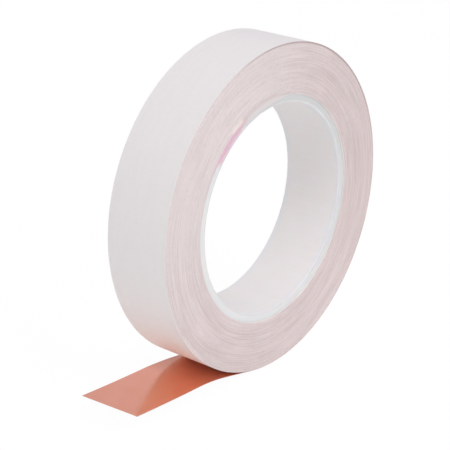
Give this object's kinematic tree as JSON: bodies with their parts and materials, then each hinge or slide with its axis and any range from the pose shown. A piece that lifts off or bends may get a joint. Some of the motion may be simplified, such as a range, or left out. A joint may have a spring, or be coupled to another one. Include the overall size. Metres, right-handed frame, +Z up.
{
  "type": "copper foil tape roll",
  "caption": "Roll of adhesive copper foil tape on a white plastic core, paper release liner outside, with the free end drawn off the bottom.",
  "frame": {"origin": "centre of the core's bore, in the middle of the tape's width", "axes": "+Y along the bore, +Z up with the roll standing on its rim, the free end of the tape leaves the bottom towards -X"},
  "size_m": [0.1338, 0.0252, 0.119],
  "materials": {
    "core_plastic": "satin",
    "tab_film": "satin",
    "wound_edges": "matte",
    "liner_paper": "satin",
    "clear_adhesive": "gloss",
    "copper_foil": "satin"
  },
  "bodies": {
    "roll": {"core": "core_plastic", "starter_tab": "tab_film", "inner_turns": "wound_edges", "outer_turn_liner": "liner_paper", "outer_turn_adhesive": "clear_adhesive", "outer_turn_foil": "copper_foil"},
    "tail_1": {"tail_1_liner": "liner_paper", "tail_1_adhesive": "clear_adhesive", "tail_1_foil": "copper_foil"},
    "tail_2": {"tail_2_liner": "liner_paper", "tail_2_adhesive": "clear_adhesive", "tail_2_foil": "copper_foil"},
    "tail_3": {"tail_3_liner": "liner_paper", "tail_3_adhesive": "clear_adhesive", "tail_3_foil": "copper_foil"},
    "tail_4": {"tail_4_liner": "liner_paper", "tail_4_adhesive": "clear_adhesive", "tail_4_foil": "copper_foil"},
    "tail_5": {"tail_5_liner": "liner_paper", "tail_5_adhesive": "clear_adhesive", "tail_5_foil": "copper_foil"},
    "peeled_liner": {"liner_tip": "liner_paper"}
  },
  "joints": [
    {"name": "tail_bend_1", "type": "hinge", "parent": "roll", "child": "tail_1", "pos_m": [-0.01873, 0, -0.0566], "axis": [0, 1, 0], "range_deg": [-2.2, 8.25]},
    {"name": "tail_bend_2", "type": "hinge", "parent": "tail_1", "child": "tail_2", "pos_m": [-0.02865, 0, -0.05422], "axis": [0, 1, 0], "range_deg": [-3.2, 12]},
    {"name": "tail_bend_3", "type": "hinge", "parent": "tail_2", "child": "tail_3", "pos_m": [-0.03869, 0, -0.05243], "axis": [0, 1, 0], "range_deg": [-4, 15]},
    {"name": "tail_bend_4", "type": "hinge", "parent": "tail_3", "child": "tail_4", "pos_m": [-0.04886, 0, -0.05168], "axis": [0, 1, 0], "range_deg": [-2.52, 9.45]},
    {"name": "tail_bend_5", "type": "hinge", "parent": "tail_4", "child": "tail_5", "pos_m": [-0.05904, 0, -0.05093], "axis": [0, 1, 0], "range_deg": [-2.68, 10.05]},
    {"name": "liner_peel", "type": "hinge", "parent": "tail_5", "child": "peeled_liner", "pos_m": [-0.06413, 0, -0.05054], "axis": [0, -1, 0], "range_deg": [0, 60]}
  ],
  "couplings": [
    {"joint": "tail_bend_1", "follows": "tail_bend_3", "ratio": 0.55},
    {"joint": "tail_bend_2", "follows": "tail_bend_3", "ratio": 0.8},
    {"joint": "tail_bend_4", "follows": "tail_bend_3", "ratio": 0.63},
    {"joint": "tail_bend_5", "follows": "tail_bend_3", "ratio": 0.67}
  ]
}
